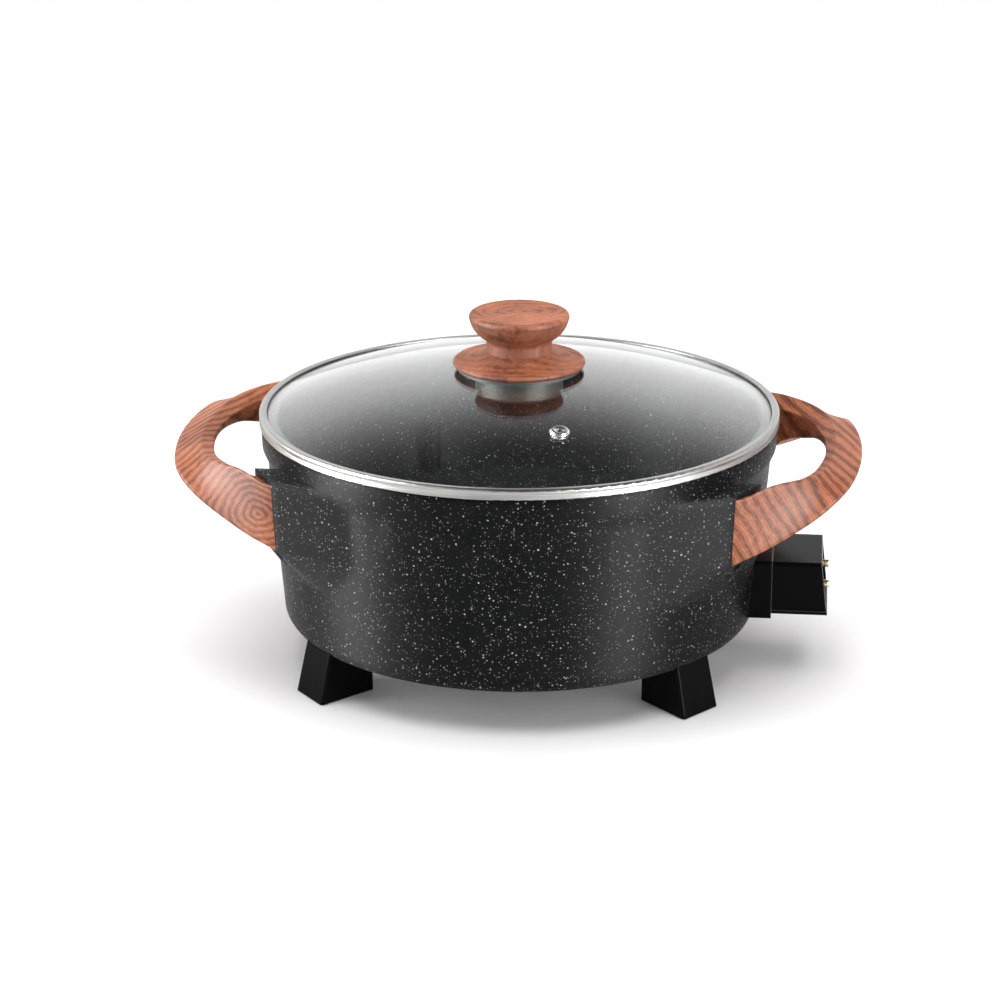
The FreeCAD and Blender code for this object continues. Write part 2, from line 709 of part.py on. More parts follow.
def guard_screws():
    """Two screws that hold the guard to the wall, one above the other."""
    screws = []
    seat_x = FLANGE_FRONT_X - FLANGE_T
    for side in (1, -1):
        z = ELEMENT_Z + side * GUARD_SCREW_OFFSET
        start_x = cone_r(ELEMENT_Z) - GUARD_SCREW_DEPTH + 1.0
        shank = cylinder(GUARD_SCREW_R, seat_x - start_x, V(start_x, 0, z), X_AXIS)
        head = cylinder(GUARD_HEAD_R, GUARD_HEAD_H, V(seat_x, 0, z), X_AXIS)
        corner = V(seat_x + GUARD_HEAD_H - SLOT_DEPTH, -GUARD_HEAD_R, z - 0.5 * SLOT_W)
        slot = Part.makeBox(SLOT_DEPTH, 2 * GUARD_HEAD_R, SLOT_W, corner)
        screws.append(shank.fuse(head).cut(slot))
    return Part.makeCompound(screws)


def foot(index):
    """One moulded foot, shaped to the corner of the shell, with a screw pocket and a pad recess."""
    low = [
        V(FOOT_IN_R, -0.5 * FOOT_IN_W, 0),
        V(FOOT_OUT_R, -0.5 * FOOT_W, 0),
        V(FOOT_OUT_R, 0.5 * FOOT_W, 0),
        V(FOOT_IN_R, 0.5 * FOOT_IN_W, 0),
    ]
    high = [
        V(FOOT_IN_R, -0.5 * FOOT_IN_W, FOOT_TOP_Z),
        V(FOOT_TOP_R, -0.5 * FOOT_TOP_W, FOOT_TOP_Z),
        V(FOOT_TOP_R, 0.5 * FOOT_TOP_W, FOOT_TOP_Z),
        V(FOOT_IN_R, 0.5 * FOOT_IN_W, FOOT_TOP_Z),
    ]
    outlines = [Part.makePolygon(low + low[:1]), Part.makePolygon(high + high[:1])]
    block = Part.makeLoft(outlines, True, True)
    upright = []
    for edge in block.Edges:
        a, b = edge.Vertexes[0].Point, edge.Vertexes[-1].Point
        if abs(b.z - a.z) > 0.5 * FOOT_TOP_Z:
            upright.append(edge)
    block = block.makeFillet(FOOT_ROUND, upright)
    pocket = cylinder(FOOT_POCKET_R, FOOT_HEAD_SEAT_Z, V(FOOT_SCREW_R0, 0, 0))
    bore = cylinder(FOOT_SCREW_R, FOOT_TOP_Z, V(FOOT_SCREW_R0, 0, 0))
    recess = cylinder(PAD_R, PAD_RECESS, V(PAD_POS_R, 0, PAD_T - PAD_RECESS))
    lift = V(0, 0, PAD_T - PAD_RECESS)
    skim = Part.makeBox(2 * FOOT_OUT_R, 2 * FOOT_W, lift.z, V(0, -FOOT_W, 0))
    block = turned(block.cut([pocket, bore, recess, skim]), foot_place(index))
    return one_solid(block.cut(pot_outside()))


def foot_screws():
    """One screw up through each foot into its boss."""
    screws = []
    for index in range(4):
        place = polar(FOOT_SCREW_R0, foot_place(index), FOOT_HEAD_SEAT_Z)
        shank = cylinder(FOOT_SCREW_R, BASE_Z + FOOT_SCREW_DEPTH - 1.0 - FOOT_HEAD_SEAT_Z, place)
        head = cylinder(FOOT_HEAD_R, FOOT_HEAD_H, place - V(0, 0, FOOT_HEAD_H))
        slot = slot_below(place - V(0, 0, FOOT_HEAD_H), FOOT_HEAD_R)
        screws.append(shank.fuse(head).cut(slot))
    return Part.makeCompound(screws)


def foot_pads():
    """Rubber buttons that stand on the table."""
    pads = []
    for index in range(4):
        pads.append(cylinder(PAD_R, PAD_T, polar(PAD_POS_R, foot_place(index), 0)))
    return Part.makeCompound(pads)


def bottom_cover():
    """Sheet-steel disc under the heating space, with slots for air and notches at the feet."""
    cover = cylinder(COVER_R, COVER_T, V(0, 0, COVER_Z))
    low, height = COVER_Z - COVER_T, 3.0 * COVER_T
    cuts = []
    for index in range(4):
        place = polar(FOOT_SCREW_R0, foot_place(index), low)
        cuts.append(cylinder(FOOT_BOSS_R + COVER_GAP, height, place))
    for angle in COVER_BOSS_ANGLES:
        cuts.append(cylinder(COVER_SCREW_R, height, polar(COVER_BOSS_R0, angle, low)))
    slot = Part.makeBox(VENT_SLOT_L, VENT_SLOT_W, height, V(VENT_RING_R, -0.5 * VENT_SLOT_W, low))
    for n in range(VENT_SLOTS):
        cuts.append(turned(slot, (n + 0.5) * 360.0 / VENT_SLOTS))
    return one_solid(cover.cut(cuts))


def cover_screws():
    """Three screws that hold the cover to its bosses."""
    screws = []
    for angle in COVER_BOSS_ANGLES:
        place = polar(COVER_BOSS_R0, angle, COVER_Z)
        shank = cylinder(COVER_SCREW_R, COVER_T + COVER_SCREW_DEPTH - 1.0, place)
        head = cylinder(COVER_HEAD_R, COVER_HEAD_H, place - V(0, 0, COVER_HEAD_H))
        screws.append(shank.fuse(head).cut(slot_below(place - V(0, 0, COVER_HEAD_H), COVER_HEAD_R)))
    return Part.makeCompound(screws)


def glass_ball(radius):
    """The sphere that the dome of the glass is part of."""
    return Part.makeSphere(radius, V(0, 0, LID_APEX_Z - GLASS_SPHERE_R))


def lid_glass():
    """Domed glass with a hole for the knob and one for the steam vent."""
    disc = cylinder(GLASS_R, LID_APEX_Z - RING_LOW_Z + 2.0, V(0, 0, RING_LOW_Z - 1.0))
    dome = disc.common(glass_ball(GLASS_SPHERE_R)).cut(glass_ball(GLASS_SPHERE_R - GLASS_T))
    knob_hole = cylinder(BUSH_R, 20.0, V(0, 0, LID_APEX_Z - 15.0))
    vent = cylinder(EYELET_BARREL_R, 20.0, V(0, 0, -10.0))
    return one_solid(dome.cut([knob_hole, place_vent(vent)]))


def place_vent(shape):
    """Move a piece modelled about Z, with the top of the glass at Z = 0, to the vent."""
    tilt = math.degrees(math.asin(VENT_R / GLASS_SPHERE_R))
    height = LID_APEX_Z - GLASS_SPHERE_R + math.sqrt(GLASS_SPHERE_R**2 - VENT_R**2)
    result = shape.copy()
    result.rotate(ORIGIN, V(0, 1, 0), tilt)
    result.translate(V(VENT_R, 0, height))
    return turned(result, VENT_ANGLE)


def vent_eyelet():
    """Rolled steel eyelet with a small steam hole."""
    points = [
        (EYELET_HOLE_R, -GLASS_T - 1.2),
        (EYELET_LOW_R, -GLASS_T - 1.2),
        (EYELET_LOW_R, -GLASS_T - 0.15),
        (EYELET_BARREL_R, -GLASS_T - 0.15),
        (EYELET_BARREL_R, 0.15),
        (EYELET_FLANGE_R, 0.15),
        (EYELET_FLANGE_R - 0.4, 1.4, EYELET_FLANGE_R + 0.1, 0.8),
        (EYELET_FLANGE_R - 2.4, EYELET_H, EYELET_FLANGE_R - 1.2, EYELET_H - 0.05),
        (EYELET_HOLE_R, 1.1, EYELET_HOLE_R + 1.0, EYELET_H - 0.35),
    ]
    return place_vent(revolved(points))


def lid_rim():
    """Folded steel band round the glass, with a lower lip that centres the lid in the mouth."""
    skin = RING_SKIN
    points = [
        (RING_SEAT_R, RING_LOCATOR_Z),
        (RING_SEAT_R + skin, RING_LOCATOR_Z),
        (RING_SEAT_R + skin + 0.3, RING_LOW_Z - 0.9),
        (RING_SEAT_R + skin + 1.0, RING_LOW_Z),
        (RING_R - 0.5, RING_LOW_Z),
        (RING_R, RING_LOW_Z + 0.5, RING_R - 0.1, RING_LOW_Z + 0.1),
        (RING_R - 0.3, 0.5 * (RING_LOW_Z + RING_TOP_Z)),
        (RING_R, RING_TOP_Z - RING_CORNER),
        (RING_R - RING_CORNER, RING_TOP_Z, RING_R - 0.3 * RING_CORNER, RING_TOP_Z - 0.3 * RING_CORNER),
        (RING_LIP_R, RING_TOP_Z - 0.3),
        (RING_LIP_R, RING_LIP_LOW_Z),
        (GLASS_R + 0.3, RING_LIP_LOW_Z),
        (GLASS_R + 0.3, RING_LOW_Z + skin),
        (RING_SEAT_R + 1.2, RING_LOW_Z + skin),
        (RING_SEAT_R, RING_LOW_Z - 0.6),
    ]
    return revolved(points)


def knob():
    """Turned knob: a broad base, a waist and a dished top."""
    waist_low = (KNOB_NECK_R, 183.6)
    waist_high = (KNOB_NECK_R, 188.6)
    points = [
        (0, KNOB_BASE_Z),
        (KNOB_BASE_R - 1.4, KNOB_BASE_Z),
        (KNOB_BASE_R - 1.0, 178.0, KNOB_BASE_R, 176.4),
        (waist_low[0], waist_low[1], 24.6, 180.2),
        waist_high,
        (21.2, 191.6, 19.5, 190.2),
        (KNOB_TOP_R - 0.2, 202.0, 26.0, 196.2),
        (KNOB_TOP_R - 1.6, KNOB_TOP_Z - 0.2, KNOB_TOP_R - 0.1, 204.4),
        (KNOB_TOP_R - 3.0, KNOB_TOP_Z - 0.15, KNOB_TOP_R - 2.3, KNOB_TOP_Z),
        (12.0, KNOB_TOP_Z - 1.0, 18.6, KNOB_TOP_Z - 0.75),
        (0, KNOB_TOP_Z - 1.0),
    ]
    socket = cylinder(INSERT_R, INSERT_TOP_Z - KNOB_BASE_Z + 1.0, V(0, 0, KNOB_BASE_Z - 1.0))
    return one_solid(revolved(points).cut(socket))


def knob_insert():
    """Threaded brass insert in the knob."""
    body = cylinder(INSERT_R, INSERT_TOP_Z - KNOB_BASE_Z, V(0, 0, KNOB_BASE_Z))
    return body.cut(cylinder(KNOB_SCREW_R, KNOB_SCREW_TOP_Z - KNOB_BASE_Z, V(0, 0, KNOB_BASE_Z)))


def knob_gasket():
    """Soft washer between the knob and the glass."""
    washer = cylinder(GASKET_R, KNOB_BASE_Z - 170.0, V(0, 0, 170.0)).cut(glass_ball(GLASS_SPHERE_R))
    return one_solid(washer.cut(cylinder(BUSH_R, 20.0, V(0, 0, 160.0))))


def glass_bush():
    """Soft bush that keeps the screw off the glass."""
    low = LID_APEX_Z - GLASS_T
    bush = cylinder(BUSH_R, KNOB_BASE_Z - low, V(0, 0, low))
    return bush.cut(cylinder(KNOB_SCREW_R, 20.0, V(0, 0, low - 5.0)))


def knob_seat():
    """Round spacer under the glass, with a pocket for the screw head."""
    points = [
        (0, PUCK_LOW_Z),
        (PUCK_R - PUCK_ROUND, PUCK_LOW_Z),
        arc_end((PUCK_R - PUCK_ROUND, PUCK_LOW_Z + PUCK_ROUND), PUCK_ROUND, -90, 0),
        (PUCK_R - 1.2, LID_APEX_Z),
        (0, LID_APEX_Z),
    ]
    seat = revolved(points).common(glass_ball(GLASS_SPHERE_R - GLASS_T))
    pocket = cylinder(PUCK_POCKET_R, PUCK_POCKET_Z - PUCK_LOW_Z + 1.0, V(0, 0, PUCK_LOW_Z - 1.0))
    seat = seat.cut([pocket, cylinder(KNOB_SCREW_R, 30.0, V(0, 0, PUCK_LOW_Z))])
    return one_solid(seat.cut(cylinder(BUSH_R, 5.0, V(0, 0, LID_APEX_Z - GLASS_T))))


def knob_screw():
    """Screw from the seat through the glass into the insert."""
    shank = cylinder(KNOB_SCREW_R, KNOB_SCREW_TOP_Z - PUCK_POCKET_Z, V(0, 0, PUCK_POCKET_Z))
    head = cylinder(KNOB_HEAD_R, KNOB_HEAD_H, V(0, 0, PUCK_POCKET_Z - KNOB_HEAD_H))
    slot = slot_below(V(0, 0, PUCK_POCKET_Z - KNOB_HEAD_H), KNOB_HEAD_R)
    return one_solid(shank.fuse(head).cut(slot))


def build():
    """All the named pieces of the pot and its lid."""
    right = handle()
    screws = [mirrored(handle_screw(), 1, side) for side in (1, -1)]
    right_screws = Part.makeCompound(screws)
    nodes = {
        "pot_body": pot_body(),
        "heating_element": one_solid(heating_element()),
        "element_insulators": element_insulators(),
        "terminal_pin_front": terminal_pin(-1),
        "terminal_pin_rear": terminal_pin(1),
        "probe_sleeve": probe_sleeve(),
        "terminal_guard": terminal_guard(),
        "guard_screws": guard_screws(),
        "bottom_cover": bottom_cover(),
        "cover_screws": cover_screws(),
        "foot_front_right": foot(0),
        "foot_front_left": foot(1),
        "foot_rear_left": foot(2),
        "foot_rear_right": foot(3),
        "foot_screws": foot_screws(),
        "foot_pads": foot_pads(),
        "handle_right": right,
        "handle_left": mirrored(right, -1, 1),
        "handle_screws_right": right_screws,
        "handle_screws_left": mirrored(right_screws, -1, 1),
        "lid_glass": lid_glass(),
        "lid_rim": lid_rim(),
        "vent_eyelet": vent_eyelet(),
        "knob": knob(),
        "knob_insert": knob_insert(),
        "knob_gasket": knob_gasket(),
        "glass_bush": glass_bush(),
        "knob_seat": knob_seat(),
        "knob_screw": knob_screw(),
    }
    return nodes


os.makedirs("parts", exist_ok=True)
for name, shape in build().items():
    if not shape.isValid():
        print("not valid:", name)
    shape.exportStep("parts/" + name + ".step")
    print(name, len(shape.Solids), "solids,", round(shape.Volume), "cubic mm")
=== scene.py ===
import json
import math

import bpy
from mathutils import Matrix, Vector

# An electric hot pot with a lift-off glass lid, in metres. The pot axis is X = Y = 0, the feet
# stand on Z = 0, the front of the pot is towards -Y and the terminal guard towards +X.

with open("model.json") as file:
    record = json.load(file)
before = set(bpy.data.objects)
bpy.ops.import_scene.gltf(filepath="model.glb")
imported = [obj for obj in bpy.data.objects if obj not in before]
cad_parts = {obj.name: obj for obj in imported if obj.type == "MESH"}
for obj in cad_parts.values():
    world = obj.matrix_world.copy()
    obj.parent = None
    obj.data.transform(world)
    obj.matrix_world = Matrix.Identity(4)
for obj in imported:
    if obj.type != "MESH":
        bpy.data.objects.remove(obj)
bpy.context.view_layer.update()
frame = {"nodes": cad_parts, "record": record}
NODES = frame["nodes"]

# Viewing angle of the photograph, and where the point on the pot axis at AIM_Z stands in it
IMAGE_SIDE = 1000.0
CAMERA_AZIMUTH = 5.61
CAMERA_ELEVATION = 19.37
CAMERA_DISTANCE = 1.805
AIM_Z = 0.090
AIM_PIXEL = (519.2, 503.3)
FOCAL_PIXELS = 3090.0
SENSOR_MM = 36.0

# Hearts of the wood figure: a knot near the front of the left handle, one far off below the
# right handle whose rings cross it as slanted stripes, and one near the knob axis
LEFT_KNOT = (-0.137, -0.096, 0.112)
RIGHT_HEART = (-0.040, -0.090, 0.010)
KNOB_HEART = (0.003, 0.005, 0.19)

# The seat of the glass in the ring is covered by a dark seal inside this radius, and the seal
# gives way to steel over the blend
SEAL_RADIUS = 0.1456
SEAL_BLEND = 0.0002

# Radii over which the edges of the coating, the black mouldings and the ring are eased, and the width of the
# painted highlight line along the edges of the mouldings
COATING_EDGE = 0.008
MOULDING_EDGE = 0.0012
RING_EDGE = 0.001
EDGE_HIGHLIGHT_WIDTH = 0.0007

# The floor reaches this far from the pot axis each way
FLOOR_REACH = 30.0

MM_PER_METRE = 1000.0
POT_MIDDLE_Z = 0.08

# The bright streaks at the sides: name, degrees from the front, watts
STREAKS = (("streak_left", -74.0, 130.0), ("streak_right", 54.0, 105.0))
STREAK_WIDTH = 0.55
STREAK_HEIGHT = 1.5


class Shade:
    """A material and short ways to add and join its nodes."""

    def __init__(self, name):
        self.material = bpy.data.materials.new(name)
        self.material.use_nodes = True
        self.tree = self.material.node_tree
        self.tree.nodes.clear()
        self.out = self.tree.nodes.new("ShaderNodeOutputMaterial")
        self.shader = self.tree.nodes.new("ShaderNodeBsdfPrincipled")
        self.join(self.shader.outputs[0], self.out.inputs["Surface"])
        self.place = self.tree.nodes.new("ShaderNodeTexCoord").outputs["Object"]

    def join(self, source, target):
        self.tree.links.new(source, target)

    def put(self, node, socket, value):
        """Sets a socket of a node to a number or colour, or joins another node's output to it."""
        if isinstance(value, bpy.types.NodeSocket):
            self.join(value, node.inputs[socket])
        else:
            node.inputs[socket].default_value = value

    def surface(self, **values):
        for key, value in values.items():
            self.put(self.shader, key.replace("_", " "), value)

    def mapped(self, source=None, scale=(1, 1, 1), turn=(0, 0, 0), shift=(0, 0, 0)):
        node = self.tree.nodes.new("ShaderNodeMapping")
        self.put(node, "Vector", source or self.place)
        node.inputs["Scale"].default_value = scale
        node.inputs["Rotation"].default_value = [math.radians(a) for a in turn]
        node.inputs["Location"].default_value = shift
        return node.outputs[0]

    def noise(self, scale, detail, rough, source=None):
        node = self.tree.nodes.new("ShaderNodeTexNoise")
        self.put(node, "Vector", source or self.place)
        node.inputs["Scale"].default_value = scale
        node.inputs["Detail"].default_value = detail
        node.inputs["Roughness"].default_value = rough
        return node.outputs["Fac"]

    def cells(self, scale, source=None):
        """Distance to the nearest cell point and that cell's random colour."""
        node = self.tree.nodes.new("ShaderNodeTexVoronoi")
        self.put(node, "Vector", source or self.place)
        node.inputs["Scale"].default_value = scale
        return node.outputs["Distance"], node.outputs["Color"]

    def rings(self, scale, source, distortion, detail, detail_scale, rough):
        node = self.tree.nodes.new("ShaderNodeTexWave")
        node.wave_type = "RINGS"
        node.rings_direction = "Z"
        self.put(node, "Vector", source)
        node.inputs["Scale"].default_value = scale
        node.inputs["Distortion"].default_value = distortion
        node.inputs["Detail"].default_value = detail
        node.inputs["Detail Scale"].default_value = detail_scale
        node.inputs["Detail Roughness"].default_value = rough
        return node.outputs["Fac"]

    def math(self, kind, a, b, c=None):
        node = self.tree.nodes.new("ShaderNodeMath")
        node.operation = kind
        self.put(node, 0, a)
        self.put(node, 1, b)
        if c is not None:
            self.put(node, 2, c)
        return node.outputs[0]

    def spread(self, value, low, high, to_low=0.0, to_high=1.0):
        node = self.tree.nodes.new("ShaderNodeMapRange")
        self.put(node, "Value", value)
        node.inputs["From Min"].default_value = low
        node.inputs["From Max"].default_value = high
        node.inputs["To Min"].default_value = to_low
        node.inputs["To Max"].default_value = to_high
        return node.outputs[0]

    def ramp(self, value, stops):
        node = self.tree.nodes.new("ShaderNodeValToRGB")
        self.put(node, "Fac", value)
        node.color_ramp.interpolation = "EASE"
        while len(node.color_ramp.elements) < len(stops):
            node.color_ramp.elements.new(0.5)
        for element, (position, colour) in zip(node.color_ramp.elements, stops):
            element.position = position
            element.color = (*colour, 1.0)
        return node.outputs["Color"]

    def mix(self, amount, first, second):
        """Blend of two colours; a Mix node has its colours on sockets 6 and 7."""
        node = self.tree.nodes.new("ShaderNodeMix")
        node.data_type = "RGBA"
        self.put(node, 0, amount)
        for index, value in ((6, first), (7, second)):
            if isinstance(value, tuple):
                value = (*value, 1.0)
            self.put(node, index, value)
        return node.outputs[2]

    def split(self, colour):
        node = self.tree.nodes.new("ShaderNodeSeparateColor")
        self.put(node, "Color", colour)
        return node.outputs

    def axis_distance(self):
        """Distance from the pot axis."""
        node = self.tree.nodes.new("ShaderNodeVectorMath")
        node.operation = "LENGTH"
        self.put(node, 0, self.mapped(scale=(1.0, 1.0, 0.0)))
        return node.outputs["Value"]

    def round_axis(self):
        """Direction round the pot axis, that of the turning marks."""
        node = self.tree.nodes.new("ShaderNodeTangent")
        node.direction_type = "RADIAL"
        node.axis = "Z"
        return node.outputs[0]

    def soft_edge(self, radius):
        """Surface direction with the edges eased over a radius."""
        node = self.tree.nodes.new("ShaderNodeBevel")
        node.samples = 6
        node.inputs["Radius"].default_value = radius
        return node.outputs[0]

    def edge_line(self, radius, low, high):
        """0 on the faces, rising to 1 along the sharp edges."""
        turn = self.tree.nodes.new("ShaderNodeVectorMath")
        turn.operation = "DOT_PRODUCT"
        face = self.tree.nodes.new("ShaderNodeNewGeometry").outputs["Normal"]
        self.put(turn, 0, self.soft_edge(radius))
        self.put(turn, 1, face)
        return self.spread(turn.outputs["Value"], 1.0 - low, 1.0 - high)

    def bump(self, height, distance, strength, over=None):
        node = self.tree.nodes.new("ShaderNodeBump")
        node.inputs["Distance"].default_value = distance
        node.inputs["Strength"].default_value = strength
        self.put(node, "Height", height)
        if over is not None:
            self.put(node, "Normal", over)
        return node.outputs[0]


def stone_coating():
    """Charcoal non-stick coating with pale flecks of several sizes."""
    s = Shade("stone_coating")
    flecks = None
    # cell size in mm, largest fleck as a share of the cell, share of cells with a fleck, brightness
    layers = ((1.3, 0.34, 0.80, 0.35), (2.0, 0.29, 0.68, 0.80), (3.6, 0.19, 0.50, 1.0))
    for number, (cell, reach, share, bright) in enumerate(layers):
        place = s.mapped(shift=(0.31 * number, 0.17 * number, 0.07 * number))
        density = MM_PER_METRE / cell
        wobble = s.noise(2.3 * density, 1.0, 0.6, place)
        distance, colour = s.cells(density, place)
        chance = s.split(colour)
        size = s.math("MULTIPLY", s.spread(chance[0], 1.0 - share, 1.0), reach)
        rough_edge = s.math("MULTIPLY_ADD", s.math("SUBTRACT", wobble, 0.5), 0.10, distance)
        dot = s.spread(s.math("SUBTRACT", size, rough_edge), 0.0, 0.07)
        dot = s.math("MULTIPLY", dot, s.spread(chance[1], 0.0, 1.0, 0.35 * bright, bright))
        flecks = dot if flecks is None else s.math("MAXIMUM", flecks, dot)
    cloud = s.noise(55.0, 3.0, 0.6)
    grain = s.noise(1600.0, 2.0, 0.6)
    ground = s.mix(s.spread(cloud, 0.35, 0.65), (0.0030, 0.0035, 0.0036), (0.0055, 0.0061, 0.0062))
    ground = s.mix(s.spread(grain, 0.55, 0.75), ground, (0.012, 0.013, 0.0135))
    colour = s.mix(flecks, ground, (0.62, 0.63, 0.64))
    pebble = s.noise(750.0, 3.0, 0.55)
    height = s.math("ADD", s.math("MULTIPLY", pebble, 0.5), s.math("MULTIPLY", flecks, 0.35))
    s.surface(
        Base_Color=colour,
        Roughness=s.spread(pebble, 0.3, 0.7, 0.46, 0.56),
        Specular_IOR_Level=0.08,
        Anisotropic=0.85,
        Anisotropic_Rotation=0.25,
        Tangent=s.round_axis(),
        Normal=s.bump(height, 0.00012, 0.5, s.soft_edge(COATING_EDGE)),
    )
    return s.material


def wood_look(name, centre, facing, ring_scale, stretch, depth):
    """Reddish-brown wood grain with dark latewood lines and fine pores. The growth rings lie
    round a centre and face the horizontal angle facing, or upwards where facing is None; depth
    is their contrast."""
    s = Shade(name)
    place = s.mapped(shift=tuple(-c for c in centre))
    if facing is not None:
        place = s.mapped(s.mapped(place, turn=(0.0, 0.0, -90.0 - facing)), turn=(-90.0, 0.0, 0.0))
    long_place = s.mapped(place, scale=stretch)
    wander = s.noise(24.0, 3.0, 0.6, long_place)
    figure = s.rings(ring_scale, long_place, 9.0, 4.0, 0.42, 0.62)
    fine = s.rings(3.3 * ring_scale, long_place, 12.0, 4.0, 0.35, 0.66)
    line = s.math("POWER", figure, 0.8)
    fibre = s.noise(330.0, 4.0, 0.66, s.mapped(place, scale=(1.0, 1.0, 0.30)))
    pores = s.noise(1300.0, 2.0, 0.6, s.mapped(place, scale=(0.5, 1.0, 0.5)))
    tone = s.math("MULTIPLY_ADD", line, depth, s.math("MULTIPLY", wander, 0.62))
    tone = s.math("MULTIPLY_ADD", fine, 0.45 * depth, tone)
    tone = s.math("MULTIPLY_ADD", s.math("SUBTRACT", fibre, 0.5), 0.46, tone)
    tone = s.math("ADD", tone, 0.26 - 0.9 * depth)
    colour = s.ramp(
        tone,
        (
            (0.26, (0.072, 0.022, 0.010)),
            (0.42, (0.165, 0.047, 0.020)),
            (0.56, (0.340, 0.104, 0.046)),
            (0.78, (0.520, 0.185, 0.088)),
        ),
    )
    colour = s.mix(s.spread(pores, 0.58, 0.74, 0.0, 0.45), colour, (0.115, 0.036, 0.020))
    s.surface(
        Base_Color=colour,
        Roughness=s.spread(fibre, 0.3, 0.7, 0.50, 0.64),
        Specular_IOR_Level=0.24,
        Normal=s.bump(fibre, 0.00010, 0.3),
    )
    return s.material


def black_moulding():
    """Glossy black moulding with a slight ripple and a thin painted highlight line along its edges."""
    s = Shade("black_moulding")
    orange_peel = s.noise(260.0, 2.0, 0.5)
    dust = s.noise(1900.0, 2.0, 0.6)
    face = s.mix(s.spread(dust, 0.4, 0.8), (0.0024, 0.0027, 0.0026), (0.0058, 0.0062, 0.0060))
    s.surface(
        # the pale colour along the sharp edges is a painted highlight
        Base_Color=s.mix(s.edge_line(EDGE_HIGHLIGHT_WIDTH, 0.03, 0.20), face, (0.11, 0.115, 0.105)),
        Roughness=s.spread(orange_peel, 0.3, 0.7, 0.13, 0.21),
        Specular_IOR_Level=0.025,
        Normal=s.bump(orange_peel, 0.0001, 0.3, s.soft_edge(MOULDING_EDGE)),
    )
    return s.material


def rim_steel():
    """Satin band with fine lines round the pot axis, and a dark seal on the seat of the glass."""
    s = Shade("rim_steel")
    lines = s.noise(1.0, 3.0, 0.6, s.mapped(scale=(30.0, 30.0, 5200.0)))
    blotch = s.noise(40.0, 3.0, 0.6)
    steel = s.spread(s.axis_distance(), SEAL_RADIUS - SEAL_BLEND, SEAL_RADIUS)
    band = s.mix(s.spread(lines, 0.3, 0.7), (0.22, 0.22, 0.21), (0.42, 0.42, 0.405))
    s.surface(
        Base_Color=s.mix(steel, (0.012, 0.013, 0.012), band),
        Metallic=steel,
        Roughness=s.math("ADD", s.spread(lines, 0.3, 0.7, 0.24, 0.38), s.spread(blotch, 0.4, 0.7, 0.0, 0.05)),
        Normal=s.bump(lines, 0.00003, 0.4, s.soft_edge(RING_EDGE)),
    )
    return s.material


def fine_steel(name, dark, light, low, high):
    """Plain steel with a fine grain."""
    s = Shade(name)
    lines = s.noise(900.0, 3.0, 0.6)
    blotch = s.noise(40.0, 3.0, 0.6)
    s.surface(
        Base_Color=s.mix(s.spread(lines, 0.3, 0.7), dark, light),
        Metallic=1.0,
        Roughness=s.math("ADD", s.spread(lines, 0.3, 0.7, low, high), s.spread(blotch, 0.4, 0.7, 0.0, 0.05)),
        Normal=s.bump(lines, 0.00003, 0.4),
    )
    return s.material


def brass():
    """Turned brass with fine marks round the pins."""
    s = Shade("pin_brass")
    lines = s.noise(1.0, 3.0, 0.6, s.mapped(scale=(2600.0, 60.0, 60.0)))
    s.surface(
        Base_Color=s.mix(s.spread(lines, 0.3, 0.7), (0.52, 0.42, 0.28), (0.78, 0.68, 0.50)),
        Metallic=1.0,
        Roughness=s.spread(lines, 0.3, 0.7, 0.18, 0.34),
    )
    return s.material


def clear_glass():
    """Clear tempered glass with a faint film; shadows pass through it."""
    s = Shade("lid_glass")
    film = s.noise(18.0, 3.0, 0.55)
    s.surface(
        Base_Color=s.mix(s.spread(film, 0.35, 0.7), (0.95, 0.98, 0.965), (0.91, 0.94, 0.925)),
        Transmission_Weight=1.0,
        IOR=1.38,
        Roughness=0.0,
        Specular_IOR_Level=0.42,
    )
    clear = s.tree.nodes.new("ShaderNodeBsdfTransparent")
    clear.inputs["Color"].default_value = (0.90, 0.93, 0.91, 1.0)
    path = s.tree.nodes.new("ShaderNodeLightPath")
    blend = s.tree.nodes.new("ShaderNodeMixShader")
    passing = s.math("MAXIMUM", path.outputs["Is Shadow Ray"], path.outputs["Is Diffuse Ray"])
    s.join(passing, blend.inputs[0])
    s.join(s.shader.outputs[0], blend.inputs[1])
    s.join(clear.outputs[0], blend.inputs[2])
    s.join(blend.outputs[0], s.out.inputs["Surface"])
    return s.material


def soft_rubber():
    """Matt dark silicone."""
    s = Shade("soft_rubber")
    grain = s.noise(1400.0, 3.0, 0.6)
    s.surface(
        Base_Color=s.mix(s.spread(grain, 0.35, 0.7), (0.010, 0.011, 0.010), (0.024, 0.026, 0.024)),
        Roughness=s.spread(grain, 0.3, 0.7, 0.5, 0.68),
        Normal=s.bump(grain, 0.00006, 0.4),
    )
    return s.material


def seat_moulding():
    """Dark olive-grey moulding with fine pale flecks."""
    s = Shade("seat_moulding")
    distance, colour = s.cells(520.0)
    chance = s.split(colour)
    size = s.spread(chance[0], 0.55, 1.0, 0.0, 0.26)
    dot = s.spread(s.math("SUBTRACT", size, distance), 0.0, 0.05, 0.0, 0.6)
    grain = s.noise(1300.0, 3.0, 0.6)
    ground = s.mix(s.spread(grain, 0.35, 0.7), (0.030, 0.032, 0.027), (0.080, 0.083, 0.072))
    s.surface(
        Base_Color=s.mix(dot, ground, (0.42, 0.43, 0.39)),
        Roughness=s.spread(grain, 0.3, 0.7, 0.42, 0.58),
        Normal=s.bump(grain, 0.00008, 0.4),
    )
    return s.material


def ceramic():
    """Unglazed off-white ceramic."""
    s = Shade("insulator_ceramic")
    grain = s.noise(900.0, 3.0, 0.6)
    s.surface(
        Base_Color=s.mix(s.spread(grain, 0.35, 0.7), (0.66, 0.63, 0.56), (0.80, 0.78, 0.72)),
        Roughness=s.spread(grain, 0.3, 0.7, 0.55, 0.75),
        Normal=s.bump(grain, 0.00006, 0.4),
    )
    return s.material


